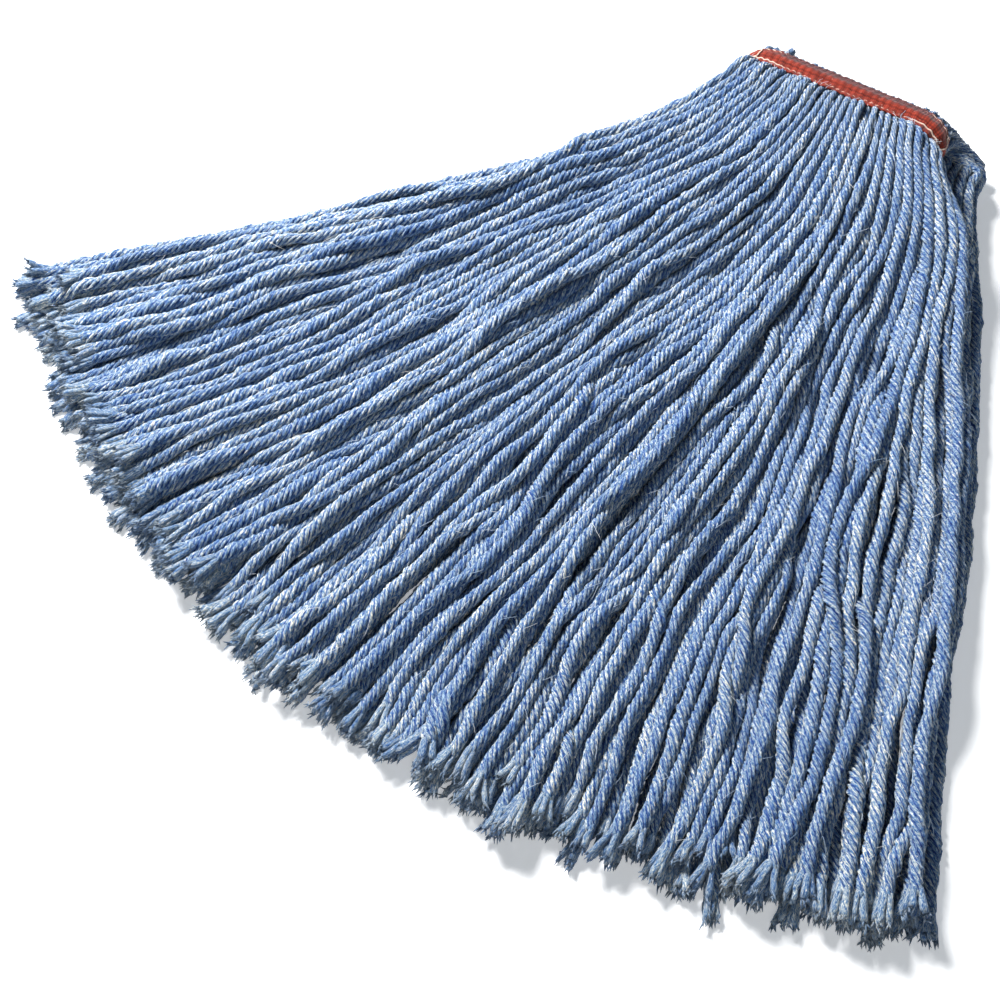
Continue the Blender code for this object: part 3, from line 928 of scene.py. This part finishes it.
def sweep_half(half, upper, radius):
    """Every strand of one half as a swept tube, cut where its own end is."""
    paths = strand_paths(half, upper)
    count = paths.shape[1]
    fine = 0.0020 if upper else 0.0032
    step = fine
    tips = REACH - TUFT_LENGTHS[1] + wander(1, np.arange(count) * 0.01, (0.11, 0.037), (0.0025, 0.0018))[:, 0]
    u0, _ = start_grid()
    tips += RANDOM.normal(0, 0.0045, count) - LEFT_SHORTER * (1 - u0)**3
    strands = []
    for i in range(count):
        keep = (half["line"][:, 0] < tips[i]) | (half["runs"] < LANDING / 2)
        tone = RANDOM.uniform(0, 1)
        rings, values, points = yarn_tube(paths[keep, i], half["size"][keep, i], tone, step)
        strands.append({"rings": rings, "values": values, "points": points, "tone": tone,
                        "radius": radius[i]})
    return strands


def bundle(name, strands, material):
    """One piece of several strands with their cut ends."""
    batch = TubeBatch()
    for strand in strands:
        batch.add(strand["rings"], strand["values"])
        cut_end(batch, strand["points"], strand["radius"], strand["tone"])
    piece = batch.make(name, material)
    return piece


def stray_loop(material):
    """A strand's loose length that stands up in a small loop behind the band's left end."""
    turn = np.linspace(0, np.pi, 12)
    across = -BAND_LENGTH / 2 + LOOP_INSET - LOOP_SIZE * np.cos(turn)
    along = -BAND_WIDTH / 2 - 0.0022 * np.sin(turn)
    out = -0.002 + 1.7 * LOOP_SIZE * np.sin(turn)
    path = band_points(across, along, out)
    rings, values, _ = yarn_tube(path, np.full(12, STRAND_DIAMETER * 0.46), 0.3, 0.0020)
    batch = TubeBatch()
    batch.add(rings, values)
    piece = batch.make("stray_loop", material)
    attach(piece, "lower_half")


def follow_section(piece):
    """Bake a piece's placement into its mesh."""
    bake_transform(piece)


def declare_strand(name, strand, material):
    """A strand on top of the pile as a piece of its own, with its brush of an end as another."""
    tube = TubeBatch()
    tube.add(strand["rings"], strand["values"])
    piece = tube.make(name, material)
    brush = TubeBatch()
    cut_end(brush, strand["points"], strand["radius"], strand["tone"])
    end = brush.make(f"{name}_end", material)
    for each in (piece, end):
        follow_section(each)


def add_lower_yarn(strands, material):
    locks = [f"lower_strands_{i + 1:02d}" for i in range(LOCKS_PER_SECTION * len(SECTIONS))]
    share = len(strands) // LOWER_PARTS
    for part in range(LOWER_PARTS):
        piece = bundle(f"lower_yarn_{part + 1}", strands[part * share:(part + 1) * share], material)
        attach(piece, "lower_half")
        if part == 0:
            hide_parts("pressed_strands", *locks)


def add_section(section, name, strands, yarn, loose):
    """One section: the strands on top as pieces of their own, the rest in bundles, and its lint."""
    by_height = sorted(range(len(strands)), key=lambda i: -strands[i]["points"][40:, 2].mean())
    top = sorted(by_height[:DECLARED_PER_SECTION])
    for number, i in enumerate(top):
        declare_strand(f"strand_{name}_{number + 1:02d}", strands[i], yarn)
    rest = [strands[i] for i in range(len(strands)) if i not in top]
    first = section * LOCKS_PER_SECTION
    locks = [f"upper_strands_{i + 1:02d}" for i in range(first, first + LOCKS_PER_SECTION)]
    for part in range(UPPER_PARTS):
        piece = bundle(f"upper_yarn_{name}_{part + 1}", rest[part::UPPER_PARTS], yarn)
        follow_section(piece)
        if part == 0:
            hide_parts(*locks)
    batch = TubeBatch()
    lint(batch, strands, LINT_PER_SECTION)
    piece = batch.make(f"lint_{name}", loose)
    follow_section(piece)


def main():
    add_stage()
    add_camera()
    yarn = yarn_material()
    loose = lint_material()
    radius = STRAND_DIAMETER / 2 * np.clip(RANDOM.normal(1.02, 0.07, STRANDS_PER_SIDE), 0.88, 1.16)
    lower = lay_out(lower_line(), radius, None)
    upper = lay_out(upper_line(), radius, lower)
    add_lower_yarn(sweep_half(lower, False, radius), yarn)
    stray_loop(yarn)
    upper_strands = sweep_half(upper, True, radius)
    section_of = section_numbers(start_grid()[0], len(SECTIONS))
    for section, name in enumerate(SECTIONS):
        mine = [strand for strand, number in zip(upper_strands, section_of) if number == section]
        add_section(section, name, mine, yarn, loose)
    add_headband()


main()
